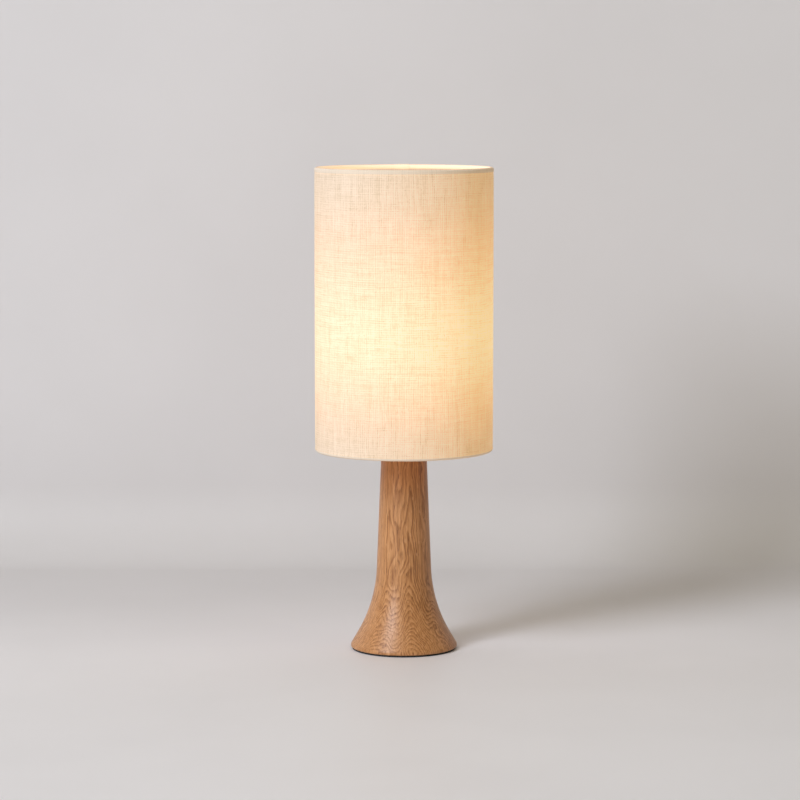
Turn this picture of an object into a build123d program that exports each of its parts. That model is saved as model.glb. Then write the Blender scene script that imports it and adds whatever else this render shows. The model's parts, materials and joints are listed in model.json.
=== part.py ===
"""Column table lamp: a turned oak column on a flared foot, under a tall linen drum shade.

Millimetres, +Z up. The origin is on the lamp's axis, on the surface that it stands on.
The front faces -Y; the cord's inlet and the shade's seam are at the back, towards +Y.
"""

import os
from math import atan2, cos, hypot, pi, radians, sin, tan

from build123d import *

# Fits between pieces
GLUE_GAP = 0.05            # between layers that are glued or welded
THREAD_FIT = 0.1           # radial, between the plain cylinders that stand for threads
RUNNING_FIT = 0.08         # radial, shaft in its bearing
LOOSE_FIT = 0.3            # between pieces that turn past each other
DROP_IN_FIT = 0.5          # radial, parts that are dropped into a recess or over a rod

# Foot and column
PAD_THICKNESS = 2.0
PAD_INSET = 1.4            # how far the pad stays back from the foot's widest edge
FOOT_RADIUS = 60.1
FOOT_EDGE_HEIGHT = 3.1     # from the pad to where the flare's line meets the foot's edge
FOOT_UNDER_ROUND = 1.3
TOE_ROUND = 6.0
TOE_SHARE = 0.54           # most of the foot's edge that the toe's round may take
UNDER_SHARE = 0.45         # and the round under it
WAIST_RADIUS = 32.34       # where the lines of the taper and of the flare cross
WAIST_HEIGHT = 52.2
FLARE_ROUND = 158.5        # the long hollow curve between the taper and the flare
COLUMN_TOP_RADIUS = 25.2
COLUMN_HEIGHT = 230.0
COLUMN_TOP_ROUND = 1.5

# Weight, rod and cord inlet
FOOT_WALL = 6.0            # between the recess's upper corner and the flare
RECESS_DEPTH = 22.0
BALLAST_THICKNESS = 9.0
BALLAST_CHAMFER = 1.0
ROD_RADIUS = 5.0
ROD_WALL = 1.25
ROD_CHAMFER = 0.4
ROD_BELOW_NUT = 1.0
NUT_ACROSS_FLATS = 14.0
NUT_THICKNESS = 4.0
WASHER_RADIUS = 14.0
WASHER_THICKNESS = 1.5
INLET_ABOVE_PAD = 7.5
INLET_BORE = 2.9
BUSHING_WALL = 1.1
BUSHING_FLANGE_WIDTH = 1.5
BUSHING_FLANGE = 1.5
BUSHING_SHORT_OF_RECESS = 0.5

# Stack on top of the column
CAP_PLATE_INSET = 4.2
CAP_PLATE_THICKNESS = 2.5
CAP_PLATE_ROUND = 0.9
LOCK_WASHER_RIM = 0.5      # outside the hub
LOCK_WASHER_THICKNESS = 0.8

# Bulb
SCREW_CAP_RADIUS = 13.0
SCREW_CAP_WALL = 0.4
SCREW_CAP_STANDS_OUT = 1.2
BULB_SEAT_GAP = 0.3        # between the tip and the spring contact
TIP_RADIUS = 4.5
TIP_THICKNESS = 1.5
INSULATOR_INSET = 1.5
INSULATOR_HEIGHT = 3.4
NECK_HEIGHT = 2.2          # of plain housing between the screw cap and the flare
NECK_STEP = 1.2
GLOBE_RADIUS = 30.0
BULB_LENGTH = 110.0
GLOBE_EDGE_DROP = 12.0     # how far below its middle the globe ends
GLOBE_WALL = 1.2
HOUSING_WALL = 2.6
HOUSING_BELLY = 70.0       # radius of the housing's hollow flank
LED_BOARD_THICKNESS = 1.6

# Lampholder
HUB_WALL = 2.9
HUB_HEIGHT = 7.0
BOWL_GAP = 0.6             # between the body and the bowl
BOWL_SLOPE_HEIGHT = 4.5
BOWL_HEIGHT = 14.7
BOWL_WALL = 0.8
BOWL_ROUND = 3.0
SHELL_WALL = 0.7
SHELL_OVERLAP = 4.0        # of the shell over the bowl's rim
SHELL_LIP_GAP = 1.2        # between the shell's lip and the bulb's way in
SHELL_LIP = 0.8
COLLAR_THREAD_STEP = 1.2
COLLAR_THREAD_HEIGHT = 20.0
LINER_WALL = 0.5
BODY_FOOT_GAP = 2.4        # between the body and the bowl's slope
BODY_LEDGE = 1.1           # of the body outside the screw shell
BODY_HEIGHT = 17.0
SCREW_SHELL_WALL = 0.4
SCREW_SHELL_HEIGHT = 23.0
CONTACT_WIDTH = 5.0
CONTACT_LENGTH = 9.0
CONTACT_THICKNESS = 0.5
CONTACT_RISE = 2.6
CONTACT_MARGIN = 1.7       # from the contact's end to the hole's edge
RIVET_RADIUS = 1.2
RIVET_HEAD_RADIUS = 1.9
RIVET_HEAD = 0.6
RIVET_LENGTH = 4.5
TERMINAL_FLAT_DEPTH = 3.3
TERMINAL_FLAT_HEIGHT = 8.0
TERMINAL_HEAD_RADIUS = 2.8
TERMINAL_HEAD = 1.6
TERMINAL_SHANK_RADIUS = 1.4
TERMINAL_SHANK = 4.0
SCREW_SLOT = 0.7
SET_SCREW_RADIUS = 1.6
SET_SCREW_LENGTH = 3.6

# Switch, on the +X side
SHAFT_ABOVE_BODY_FOOT = 9.3
KNOB_GAP = 2.5             # between the shell and the knob
KNOB_RADIUS = 5.2
KNOB_LENGTH = 15.0
KNOB_NOSE_ROUND = 1.6
KNOB_FLUTES = 14
KNOB_FLUTE_RADIUS = 0.8
KNOB_COLLAR_RADIUS = 3.4
KNOB_COLLAR = 1.4
SHAFT_RADIUS = 1.5
SHAFT_HOLD = 10.0          # of the shaft inside the knob
ROTOR_RADIUS = 4.2
ROTOR_LENGTH = 6.0
ROTOR_NOTCHES = 4
ROTOR_NOTCH_RADIUS = 1.1
CHAMBER_GAP = 0.8          # round the rotor
CHAMBER_END_GAP = 2.0
SWITCH_CONTACT_THICKNESS = 0.4
SWITCH_CONTACT_WIDTH = 4.0

# Shade
SHADE_RADIUS = 100.0
SHADE_HEIGHT = 318.0
SHADE_DROP = 48.6          # from the fitter's collar down to the shade's lower edge
FABRIC_THICKNESS = 0.6
SHADE_LINER_THICKNESS = 0.5
WIRE_RADIUS = 1.5
HEM_WRAP = 260.0           # degrees that the cloth goes round the ring
SEAM_WIDTH = 12.0
SEAM_THICKNESS = 0.5
SEAM_END_GAP = 1.5         # between the seam and the rings
SHADE_RING_WIDTH = 7.8     # outside the collar thread
SHADE_RING_FLANGE = 3.0
SHADE_RING_GRIP_WALL = 4.3
SHADE_RING_GRIP = 5.5
SHADE_RING_RIBS = 24
SHADE_RING_RIB_RADIUS = 0.9
LOWER_RING_START = 2.0     # above the foot of the collar thread
COLLAR_HOLE_GAP = 0.8      # between the fitter's collar and the thread
COLLAR_LEDGE = 2.0         # of the collar outside the rings
COLLAR_THICKNESS = 1.5
ARM_COUNT = 3
FIRST_ARM_ANGLE = 90.0
ARM_BEND_RADIUS = 58.0     # distance of the arm's bend from the axis
ARM_BEND_ROUND = 12.0

# Radii of the rod's and the lampholder's layers, from the middle outwards
BUSHING_RADIUS = INLET_BORE + BUSHING_WALL
BUSHING_FLANGE_RADIUS = BUSHING_RADIUS + BUSHING_FLANGE_WIDTH
HUB_RADIUS = ROD_RADIUS + THREAD_FIT + HUB_WALL
INSULATOR_TOP_RADIUS = SCREW_CAP_RADIUS - INSULATOR_INSET
NECK_RADIUS = SCREW_CAP_RADIUS + NECK_STEP
SCREW_SHELL_BORE = SCREW_CAP_RADIUS + LOOSE_FIT
SCREW_SHELL_HOLE = CONTACT_LENGTH / 2 + CONTACT_MARGIN
RIVET_PITCH_RADIUS = (SCREW_SHELL_HOLE + SCREW_SHELL_BORE) / 2
SHELL_LIP_RADIUS = SCREW_SHELL_BORE + SHELL_LIP_GAP
BODY_RADIUS = SCREW_SHELL_BORE + SCREW_SHELL_WALL + BODY_LEDGE
TERMINAL_FLAT = BODY_RADIUS - TERMINAL_FLAT_DEPTH
LINER_INSIDE = BODY_RADIUS + LOOSE_FIT
BOWL_INSIDE = BODY_RADIUS + BOWL_GAP
BOWL_RADIUS = BOWL_INSIDE + BOWL_WALL
SHELL_INSIDE = BOWL_RADIUS + THREAD_FIT
SHELL_RADIUS = SHELL_INSIDE + SHELL_WALL
COLLAR_THREAD_RADIUS = SHELL_RADIUS + COLLAR_THREAD_STEP
THREAD_INSIDE = COLLAR_THREAD_RADIUS - SHELL_WALL
SHADE_RING_RADIUS = COLLAR_THREAD_RADIUS + SHADE_RING_WIDTH
SHADE_RING_GRIP_RADIUS = COLLAR_THREAD_RADIUS + SHADE_RING_GRIP_WALL
COLLAR_HOLE_RADIUS = COLLAR_THREAD_RADIUS + COLLAR_HOLE_GAP
COLLAR_RADIUS = SHADE_RING_RADIUS + COLLAR_LEDGE
CHAMBER_RADIUS = ROTOR_RADIUS + CHAMBER_GAP
CHAMBER_LENGTH = ROTOR_LENGTH + 2 * CHAMBER_END_GAP
SHAFT_HOLE_RADIUS = SHAFT_RADIUS + DROP_IN_FIT
KNOB_INNER_FACE = SHELL_RADIUS + KNOB_GAP

# Heights, from the table upwards
RECESS_TOP = PAD_THICKNESS + RECESS_DEPTH
BALLAST_BOTTOM = RECESS_TOP - BALLAST_THICKNESS
WASHER_BOTTOM = BALLAST_BOTTOM - WASHER_THICKNESS
NUT_BOTTOM = WASHER_BOTTOM - NUT_THICKNESS
ROD_BOTTOM = NUT_BOTTOM - ROD_BELOW_NUT
INLET_HEIGHT = PAD_THICKNESS + INLET_ABOVE_PAD
COLUMN_TOP = PAD_THICKNESS + COLUMN_HEIGHT
CAP_PLATE_TOP = COLUMN_TOP + CAP_PLATE_THICKNESS
HUB_BOTTOM = CAP_PLATE_TOP + LOCK_WASHER_THICKNESS
HUB_TOP = HUB_BOTTOM + HUB_HEIGHT
SLOPE_TOP = HUB_TOP + BOWL_SLOPE_HEIGHT
BOWL_RIM = HUB_TOP + BOWL_HEIGHT
SHELL_BOTTOM = BOWL_RIM - SHELL_OVERLAP
BODY_BOTTOM = SLOPE_TOP + BOWL_WALL + BODY_FOOT_GAP
BODY_TOP = BODY_BOTTOM + BODY_HEIGHT
SHAFT_HEIGHT = BODY_BOTTOM + SHAFT_ABOVE_BODY_FOOT
TERMINAL_HEIGHT = BODY_BOTTOM + TERMINAL_FLAT_HEIGHT / 2
SCREW_SHELL_RIM = BODY_TOP + SCREW_SHELL_HEIGHT
SHELL_TOP = SCREW_SHELL_RIM + LOOSE_FIT + SHELL_LIP
THREAD_TOP = SHELL_TOP - 2 * SHELL_LIP
THREAD_BOTTOM = THREAD_TOP - COLLAR_THREAD_HEIGHT
LOWER_RING_BOTTOM = THREAD_BOTTOM + LOWER_RING_START
COLLAR_BOTTOM = LOWER_RING_BOTTOM + SHADE_RING_FLANGE + THREAD_FIT
UPPER_RING_BOTTOM = COLLAR_BOTTOM + COLLAR_THICKNESS + THREAD_FIT
CONTACT_TOP = BODY_TOP + CONTACT_RISE
TIP_BOTTOM = CONTACT_TOP + BULB_SEAT_GAP
INSULATOR_BOTTOM = TIP_BOTTOM + TIP_THICKNESS
SCREW_CAP_BOTTOM = INSULATOR_BOTTOM + INSULATOR_HEIGHT
SCREW_CAP_TOP = SHELL_TOP + SCREW_CAP_STANDS_OUT
GLOBE_CENTRE = TIP_BOTTOM + BULB_LENGTH - GLOBE_RADIUS
GLOBE_EDGE = GLOBE_CENTRE - GLOBE_EDGE_DROP

# The shade's layers, from its outer face inwards; the roll of the hem holds wire and liner
FABRIC_INSIDE = SHADE_RADIUS - FABRIC_THICKNESS
SHADE_LINER_OUTSIDE = FABRIC_INSIDE - GLUE_GAP
SHADE_LINER_INSIDE = SHADE_LINER_OUTSIDE - SHADE_LINER_THICKNESS
WIRE_RING_RADIUS = SHADE_LINER_INSIDE - GLUE_GAP - WIRE_RADIUS
ROLL_INSIDE = WIRE_RADIUS + (SHADE_LINER_THICKNESS + GLUE_GAP) / 2 + GLUE_GAP
HEM_RADIUS = ROLL_INSIDE + FABRIC_THICKNESS
HEM_RING_RADIUS = SHADE_RADIUS - HEM_RADIUS
SHADE_BOTTOM = COLLAR_BOTTOM - SHADE_DROP
BOTTOM_RING_Z = SHADE_BOTTOM + HEM_RADIUS
TOP_RING_Z = SHADE_BOTTOM + SHADE_HEIGHT - HEM_RADIUS
ARM_Z = COLLAR_BOTTOM + COLLAR_THICKNESS / 2

BASE = (Align.CENTER, Align.CENTER, Align.MIN)


def disc(radius, bottom, height):
    """A plain cylinder on the lamp's axis."""
    return Pos(0, 0, bottom) * Cylinder(radius, height, align=BASE)


def tube(outside, inside, bottom, height):
    """A plain tube on the lamp's axis."""
    return disc(outside, bottom, height) - disc(inside, bottom, height)


def along_x(radius, start, length, height=0.0):
    """A cylinder that lies along +X from `start`."""
    return Pos(start, 0, height) * Rot(0, 90, 0) * Cylinder(radius, length, align=BASE)


def along_y(radius, start, length, height=0.0):
    """A cylinder that lies along +Y from `start`."""
    return Pos(0, start, height) * Rot(-90, 0, 0) * Cylinder(radius, length, align=BASE)


def turned(*edges):
    """The solid that a closed half section, drawn as (radius, height), sweeps round Z."""
    section = make_face([edge for line in edges for edge in line.edges()])
    return revolve(Plane.XZ * section, Axis.Z)


def turned_outline(*points):
    """A turned solid with straight sides."""
    return turned(Polyline(*points, close=True))


def fitting_round(wanted, before, corner, after, share=0.85):
    """A corner's radius, no larger than the two sides beside it have room for."""
    into = (corner[0] - before[0], corner[1] - before[1])
    out = (after[0] - corner[0], after[1] - corner[1])
    turn = abs(atan2(into[0] * out[1] - into[1] * out[0], into[0] * out[0] + into[1] * out[1]))
    return min(wanted, share * min(hypot(*into), hypot(*out)) / tan(turn / 2))


def flare_radius(height):
    """Radius of the straight part of the foot's flare."""
    toe = PAD_THICKNESS + FOOT_EDGE_HEIGHT
    return FOOT_RADIUS - (height - toe) * (FOOT_RADIUS - WAIST_RADIUS) / (WAIST_HEIGHT - toe)


def recess_radius():
    """Radius of the hollow under the foot, one wall inside the flare at its upper corner."""
    return flare_radius(RECESS_TOP) - FOOT_WALL


# Foot and column

def foot_pad():
    pad = disc(FOOT_RADIUS - PAD_INSET, 0, PAD_THICKNESS)
    return chamfer(pad.edges().group_by(Axis.Z)[0], PAD_THICKNESS / 5)


def turned_column():
    """One turning: slight taper, long hollow flare, rounded toe; hollowed for rod and weight."""
    bore = ROD_RADIUS + DROP_IN_FIT
    top = (COLUMN_TOP_RADIUS, COLUMN_TOP)
    waist = (WAIST_RADIUS, WAIST_HEIGHT)
    toe = (FOOT_RADIUS, PAD_THICKNESS + FOOT_EDGE_HEIGHT)
    edge = (FOOT_RADIUS, PAD_THICKNESS)
    mouth = (recess_radius(), PAD_THICKNESS)
    outside = FilletPolyline(
        (bore, COLUMN_TOP), top, waist, toe, edge, mouth,
        radius=[
            COLUMN_TOP_ROUND,
            fitting_round(FLARE_ROUND, top, waist, toe),
            fitting_round(TOE_ROUND, waist, toe, edge, TOE_SHARE),
            fitting_round(FOOT_UNDER_ROUND, toe, edge, mouth, UNDER_SHARE),
        ],
    )
    inside = Polyline(
        mouth, (recess_radius(), RECESS_TOP), (bore, RECESS_TOP), (bore, COLUMN_TOP))
    column = turned(outside, inside)
    column -= along_y(BUSHING_RADIUS + GLUE_GAP, 0, FOOT_RADIUS, INLET_HEIGHT)
    return column - along_y(
        BUSHING_FLANGE_RADIUS + DROP_IN_FIT / 2, inlet_seat(), FOOT_RADIUS, INLET_HEIGHT)


def inlet_seat():
    """Distance from the axis of the flat that the cord bushing's flange sits on."""
    return flare_radius(INLET_HEIGHT + BUSHING_FLANGE_RADIUS + DROP_IN_FIT / 2)


def cord_bushing():
    """Flanged sleeve at the back, with a rounded mouth for the cord."""
    inner_end = recess_radius() + BUSHING_SHORT_OF_RECESS
    outer_end = inlet_seat() + BUSHING_FLANGE
    mouth = BUSHING_FLANGE / 2
    outside = Polyline(
        (INLET_BORE, inner_end), (BUSHING_RADIUS, inner_end),
        (BUSHING_RADIUS, inlet_seat()), (BUSHING_FLANGE_RADIUS, inlet_seat()),
    )
    face = FilletPolyline(
        (BUSHING_FLANGE_RADIUS, inlet_seat()), (BUSHING_FLANGE_RADIUS, outer_end),
        (INLET_BORE, outer_end), (INLET_BORE, inner_end),
        radius=[mouth, mouth],
    )
    return Pos(0, 0, INLET_HEIGHT) * Rot(-90, 0, 0) * turned(outside, face)


def ballast_weight():
    weight = disc(recess_radius() - DROP_IN_FIT, BALLAST_BOTTOM, BALLAST_THICKNESS)
    weight = chamfer(weight.edges(), BALLAST_CHAMFER)
    return weight - disc(ROD_RADIUS + DROP_IN_FIT, BALLAST_BOTTOM, BALLAST_THICKNESS)


def ballast_washer():
    return tube(WASHER_RADIUS, ROD_RADIUS + DROP_IN_FIT / 2, WASHER_BOTTOM, WASHER_THICKNESS)


def ballast_nut():
    """Thin hexagon nut with its corners turned down."""
    hexagon = RegularPolygon(NUT_ACROSS_FLATS / 2, 6, major_radius=False)
    nut = Pos(0, 0, NUT_BOTTOM) * extrude(hexagon, NUT_THICKNESS)
    corner = NUT_ACROSS_FLATS / 2 / cos(pi / 6)
    bevel = disc(corner, NUT_BOTTOM, NUT_THICKNESS)
    nut &= chamfer(bevel.edges(), corner - NUT_ACROSS_FLATS / 2)
    return nut - disc(ROD_RADIUS + THREAD_FIT, NUT_BOTTOM, NUT_THICKNESS)


def threaded_rod():
    rod = chamfer(disc(ROD_RADIUS, ROD_BOTTOM, HUB_TOP - ROD_BOTTOM).edges(), ROD_CHAMFER)
    return rod - disc(ROD_RADIUS - ROD_WALL, ROD_BOTTOM, HUB_TOP - ROD_BOTTOM)


def column_cap():
    """Turned plate that closes the column's top."""
    plate = disc(COLUMN_TOP_RADIUS - CAP_PLATE_INSET, COLUMN_TOP, CAP_PLATE_THICKNESS)
    plate = fillet(plate.edges().group_by(Axis.Z)[-1], CAP_PLATE_ROUND)
    return plate - disc(ROD_RADIUS + DROP_IN_FIT / 2, COLUMN_TOP, CAP_PLATE_THICKNESS)


def lock_washer():
    hole = ROD_RADIUS + DROP_IN_FIT / 2
    return tube(HUB_RADIUS + LOCK_WASHER_RIM, hole, CAP_PLATE_TOP, LOCK_WASHER_THICKNESS)


# Lampholder

def socket_cap():
    """Spun bowl on a threaded hub; a set screw holds the hub on the rod."""
    bore = ROD_RADIUS + THREAD_FIT
    floor = HUB_TOP + BOWL_WALL
    neck = (HUB_RADIUS, HUB_TOP)
    shoulder = (BOWL_RADIUS, SLOPE_TOP)
    rim = (BOWL_RADIUS, BOWL_RIM)
    outside = FilletPolyline(
        (bore, HUB_BOTTOM), (HUB_RADIUS, HUB_BOTTOM), neck, shoulder, rim, (BOWL_INSIDE, BOWL_RIM),
        radius=[
            BOWL_WALL / 2,
            BOWL_WALL / 2,
            fitting_round(BOWL_ROUND, neck, shoulder, rim),
            BOWL_WALL / 4,
        ],
    )
    inside = Polyline(
        (BOWL_INSIDE, BOWL_RIM), (BOWL_INSIDE, SLOPE_TOP + BOWL_WALL),
        (HUB_RADIUS, floor), (bore, floor), (bore, HUB_BOTTOM),
    )
    cap = turned(outside, inside) - along_x(SHAFT_HOLE_RADIUS, 0, 2 * SHELL_RADIUS, SHAFT_HEIGHT)
    hole = SET_SCREW_RADIUS + THREAD_FIT
    return cap - along_y(hole, 0, HUB_RADIUS + BOWL_WALL, HUB_BOTTOM + HUB_HEIGHT / 2)


def socket_set_screw():
    start = ROD_RADIUS + THREAD_FIT
    height = HUB_BOTTOM + HUB_HEIGHT / 2
    screw = along_y(SET_SCREW_RADIUS, start, SET_SCREW_LENGTH, height)
    slot = Box(2 * SET_SCREW_RADIUS, SCREW_SLOT, SCREW_SLOT)
    return screw - Pos(0, start + SET_SCREW_LENGTH, height) * slot


def socket_shell():
    """Drawn shell: plain skirt over the bowl, stepped out to the collar thread, lip at its rim."""
    outside = Polyline(
        (SHELL_INSIDE, SHELL_BOTTOM), (SHELL_RADIUS, SHELL_BOTTOM),
        (SHELL_RADIUS, THREAD_BOTTOM - SHELL_WALL), (COLLAR_THREAD_RADIUS, THREAD_BOTTOM),
        (COLLAR_THREAD_RADIUS, THREAD_TOP), (SHELL_LIP_RADIUS + SHELL_WALL, SHELL_TOP),
        (SHELL_LIP_RADIUS, SHELL_TOP),
    )
    inside = Polyline(
        (SHELL_LIP_RADIUS, SHELL_TOP), (SHELL_LIP_RADIUS, SHELL_TOP - SHELL_LIP),
        (THREAD_INSIDE, THREAD_TOP - SHELL_LIP / 2), (THREAD_INSIDE, THREAD_BOTTOM + SHELL_WALL),
        (SHELL_INSIDE, THREAD_BOTTOM), (SHELL_INSIDE, SHELL_BOTTOM),
    )
    shell = turned(outside, inside)
    return shell - along_x(SHAFT_HOLE_RADIUS, 0, 2 * SHELL_RADIUS, SHAFT_HEIGHT)


def socket_liner():
    """Insulating sleeve between the shell and the working parts."""
    height = THREAD_TOP - BOWL_RIM - SHELL_LIP
    sleeve = tube(LINER_INSIDE + LINER_WALL, LINER_INSIDE, BOWL_RIM + GLUE_GAP, height)
    return sleeve - along_x(SHAFT_HOLE_RADIUS, 0, 2 * SHELL_RADIUS, SHAFT_HEIGHT)


def socket_body():
    """Moulded insulator: switch chamber open below, flats for the terminals, bearing for the shaft."""
    body = disc(BODY_RADIUS, BODY_BOTTOM, BODY_HEIGHT)
    body -= along_x(CHAMBER_RADIUS, -CHAMBER_LENGTH / 2, CHAMBER_LENGTH, SHAFT_HEIGHT)
    below = SHAFT_HEIGHT - BODY_BOTTOM
    body -= Pos(0, 0, BODY_BOTTOM) * Box(CHAMBER_LENGTH, 2 * CHAMBER_RADIUS, below, align=BASE)
    body -= along_x(SHAFT_RADIUS + RUNNING_FIT, 0, 2 * BODY_RADIUS, SHAFT_HEIGHT)
    for side in (-1, 1):
        depth = BODY_RADIUS - TERMINAL_FLAT
        flat = Box(2 * BODY_RADIUS, depth, TERMINAL_FLAT_HEIGHT, align=BASE)
        body -= Pos(0, side * (TERMINAL_FLAT + depth / 2), BODY_BOTTOM) * flat
        body -= terminal(side, TERMINAL_SHANK_RADIUS + THREAD_FIT, TERMINAL_SHANK)
        body -= Pos(side * RIVET_PITCH_RADIUS, 0, 0) * disc(
            RIVET_RADIUS + THREAD_FIT, BODY_TOP - RIVET_LENGTH, RIVET_LENGTH)
    return body


def terminal(side, radius, length):
    """A cylinder that goes into the body from one of the terminals' flats."""
    start = TERMINAL_FLAT - length if side > 0 else -TERMINAL_FLAT
    return along_y(radius, start, length, TERMINAL_HEIGHT)


def terminal_screws():
    screws = []
    for side in (-1, 1):
        start = TERMINAL_FLAT if side > 0 else -TERMINAL_FLAT - TERMINAL_HEAD
        head = along_y(TERMINAL_HEAD_RADIUS, start, TERMINAL_HEAD, TERMINAL_HEIGHT)
        face = side * (TERMINAL_FLAT + TERMINAL_HEAD)
        slot = Box(2 * TERMINAL_HEAD_RADIUS, SCREW_SLOT, SCREW_SLOT)
        shank = terminal(side, TERMINAL_SHANK_RADIUS, TERMINAL_SHANK)
        screws.append(head + shank - Pos(0, face, TERMINAL_HEIGHT) * slot)
    return Compound(children=screws)


def screw_shell():
    """The threaded brass cup that holds the bulb; its floor is riveted to the body."""
    outside = SCREW_SHELL_BORE + SCREW_SHELL_WALL
    cup = disc(outside, BODY_TOP, SCREW_SHELL_HEIGHT)
    cup -= disc(SCREW_SHELL_BORE, BODY_TOP + SCREW_SHELL_WALL, SCREW_SHELL_HEIGHT)
    cup -= disc(SCREW_SHELL_HOLE, BODY_TOP, SCREW_SHELL_WALL)
    for side in (-1, 1):
        cup -= Pos(side * RIVET_PITCH_RADIUS, 0, 0) * disc(
            RIVET_RADIUS + THREAD_FIT, BODY_TOP, SCREW_SHELL_WALL)
    return cup


def shell_rivets():
    rivets = []
    for side in (-1, 1):
        shank = disc(RIVET_RADIUS, BODY_TOP - RIVET_LENGTH, RIVET_LENGTH + SCREW_SHELL_WALL)
        head = disc(RIVET_HEAD_RADIUS, BODY_TOP + SCREW_SHELL_WALL, RIVET_HEAD)
        head = fillet(head.edges().group_by(Axis.Z)[-1], RIVET_HEAD / 2)
        rivets.append(Pos(side * RIVET_PITCH_RADIUS, 0, 0) * (shank + head))
    return Compound(children=rivets)


def centre_contact():
    """Sprung tongue: its foot lies on the body and its tip is bent up under the bulb."""
    foot_end = -CONTACT_LENGTH / 2
    knee = foot_end + CONTACT_LENGTH / 3
    toe = CONTACT_LENGTH / 2
    low, high = BODY_TOP, CONTACT_TOP
    strip = Polyline(
        (foot_end, low), (knee, low), (0, high - CONTACT_THICKNESS),
        (toe, high - CONTACT_THICKNESS), (toe, high), (-CONTACT_THICKNESS, high),
        (knee - CONTACT_THICKNESS, low + CONTACT_THICKNESS),
        (foot_end, low + CONTACT_THICKNESS), close=True,
    )
    side = Plane.XZ * make_face(strip)
    return extrude(side, CONTACT_WIDTH / 2, both=True)


def switch_contact():
    """Flat spring across the chamber that bears on the rotor's cams."""
    top = SHAFT_HEIGHT - ROTOR_RADIUS - LOOSE_FIT
    strip = Box(
        SWITCH_CONTACT_WIDTH, 2 * (CHAMBER_RADIUS - GLUE_GAP), SWITCH_CONTACT_THICKNESS)
    return Pos(0, 0, top - SWITCH_CONTACT_THICKNESS / 2) * strip


# Switch

def switch_shaft():
    start = -ROTOR_LENGTH / 2
    length = KNOB_INNER_FACE + SHAFT_HOLD - start
    return chamfer(along_x(SHAFT_RADIUS, start, length, SHAFT_HEIGHT).edges(), SHAFT_RADIUS / 6)


def switch_rotor():
    """Cam wheel on the shaft, with one notch for each click of the switch."""
    start = -ROTOR_LENGTH / 2
    wheel = along_x(ROTOR_RADIUS, start, ROTOR_LENGTH)
    for notch in range(ROTOR_NOTCHES):
        cut = Pos(0, 0, ROTOR_RADIUS) * along_x(ROTOR_NOTCH_RADIUS, start, ROTOR_LENGTH)
        wheel -= Rot(360 / ROTOR_NOTCHES * notch, 0, 0) * cut
    wheel -= along_x(SHAFT_RADIUS + GLUE_GAP, start, ROTOR_LENGTH)
    return Pos(0, 0, SHAFT_HEIGHT) * wheel


def switch_knob():
    """Fluted knob with a domed nose and a small collar on its inner face."""
    grip = along_x(KNOB_RADIUS, KNOB_INNER_FACE + KNOB_COLLAR, KNOB_LENGTH - KNOB_COLLAR)
    grip = fillet(grip.edges().group_by(Axis.X)[-1], KNOB_NOSE_ROUND)
    grip = chamfer(grip.edges().group_by(Axis.X)[0], KNOB_FLUTE_RADIUS / 2)
    flute = Pos(0, 0, KNOB_RADIUS + KNOB_FLUTE_RADIUS / 2) * along_x(
        KNOB_FLUTE_RADIUS, KNOB_INNER_FACE, KNOB_LENGTH - KNOB_NOSE_ROUND)
    for index in range(KNOB_FLUTES):
        grip -= Rot(360 / KNOB_FLUTES * index, 0, 0) * flute
    grip += along_x(KNOB_COLLAR_RADIUS, KNOB_INNER_FACE, KNOB_COLLAR)
    grip -= along_x(SHAFT_RADIUS + GLUE_GAP, KNOB_INNER_FACE, SHAFT_HOLD + GLUE_GAP)
    return Pos(0, 0, SHAFT_HEIGHT) * grip


# Shade

def shade_fabric():
    return tube(SHADE_RADIUS, FABRIC_INSIDE, BOTTOM_RING_Z, TOP_RING_Z - BOTTOM_RING_Z)


def shade_liner():
    return tube(
        SHADE_LINER_OUTSIDE, SHADE_LINER_INSIDE, BOTTOM_RING_Z, TOP_RING_Z - BOTTOM_RING_Z)


def shade_seam():
    """Glued overlap of the liner, up the inside at the back."""
    clear = WIRE_RADIUS + SEAM_END_GAP
    outside = SHADE_LINER_INSIDE - GLUE_GAP
    height = TOP_RING_Z - BOTTOM_RING_Z - 2 * clear
    band = tube(outside, outside - SEAM_THICKNESS, BOTTOM_RING_Z + clear, height)
    window = Pos(0, SHADE_RADIUS, 0) * Box(SEAM_WIDTH, SHADE_RADIUS, 3 * TOP_RING_Z)
    return band & window


def wire_ring(height):
    return Pos(0, 0, height) * Torus(WIRE_RING_RADIUS, WIRE_RADIUS)


def rolled_hem(height, up):
    """The cloth's edge, rolled round a ring from the skin's outer face; `up` is 1 at the top."""
    def on_roll(radius, degrees):
        turn = radians(degrees)
        return (HEM_RING_RADIUS + radius * cos(turn), height + up * radius * sin(turn))

    outside = ThreePointArc(
        on_roll(HEM_RADIUS, 0), on_roll(HEM_RADIUS, HEM_WRAP / 2), on_roll(HEM_RADIUS, HEM_WRAP))
    inside = ThreePointArc(
        on_roll(ROLL_INSIDE, HEM_WRAP), on_roll(ROLL_INSIDE, HEM_WRAP / 2), on_roll(ROLL_INSIDE, 0))
    tucked_end = Line(on_roll(HEM_RADIUS, HEM_WRAP), on_roll(ROLL_INSIDE, HEM_WRAP))
    skin_end = Line(on_roll(ROLL_INSIDE, 0), on_roll(HEM_RADIUS, 0))
    return turned(outside, tucked_end, inside, skin_end)


def top_hem():
    return rolled_hem(TOP_RING_Z, 1)


def bottom_hem():
    """The lower roll, notched where the three arms come through to the ring."""
    hem = rolled_hem(BOTTOM_RING_Z, -1)
    for index in range(ARM_COUNT):
        hem -= fitter_arm(index, WIRE_RADIUS + LOOSE_FIT)
    return hem


def fitter_collar():
    return tube(COLLAR_RADIUS, COLLAR_HOLE_RADIUS, COLLAR_BOTTOM, COLLAR_THICKNESS)


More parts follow.
